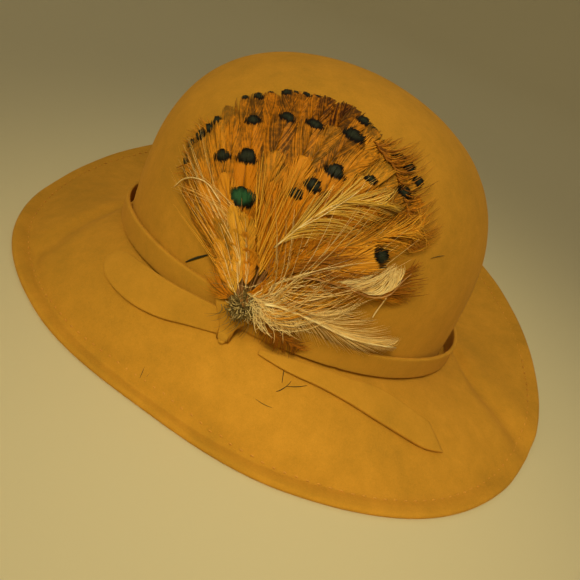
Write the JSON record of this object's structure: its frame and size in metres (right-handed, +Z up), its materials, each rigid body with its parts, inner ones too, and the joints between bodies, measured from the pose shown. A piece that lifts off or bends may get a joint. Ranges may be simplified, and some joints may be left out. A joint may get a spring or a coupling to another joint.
{
  "type": "felt hat with a feather cockade",
  "caption": "Round-crowned felt hat with a turned-down front brim, a felt band tied under a tab, and a fan of feathers over the knot.",
  "frame": {"origin": "middle of the hat's footprint, on the surface it stands on", "axes": "+Z up; the front of the hat, with the cockade, faces -Y; +X is to the right seen from the front"},
  "size_m": [0.2986, 0.2832, 0.1303],
  "materials": {
    "felt": "mustard wool felt, matt with a short nap",
    "felt_band": "mustard wool felt, cut edges",
    "chestnut_feather": "barbed feather with a soft gloss and dark tips",
    "olive_feather": "loose translucent barbs",
    "cream_feather": "downy barbs on a pale quill",
    "dark_feather": "dark speckled hackles"
  },
  "bodies": {
    "root": {"felt_body": "felt", "hat_band": "felt_band", "band_tab": "felt_band", "tie_left": "felt_band", "tie_right": "felt_band", "feather_fan": "chestnut_feather", "olive_feather": "olive_feather", "curled_feather": "chestnut_feather", "cream_plume": "cream_feather", "under_feather": "dark_feather", "hackle_tuft": "dark_feather"}
  },
  "joints": []
}
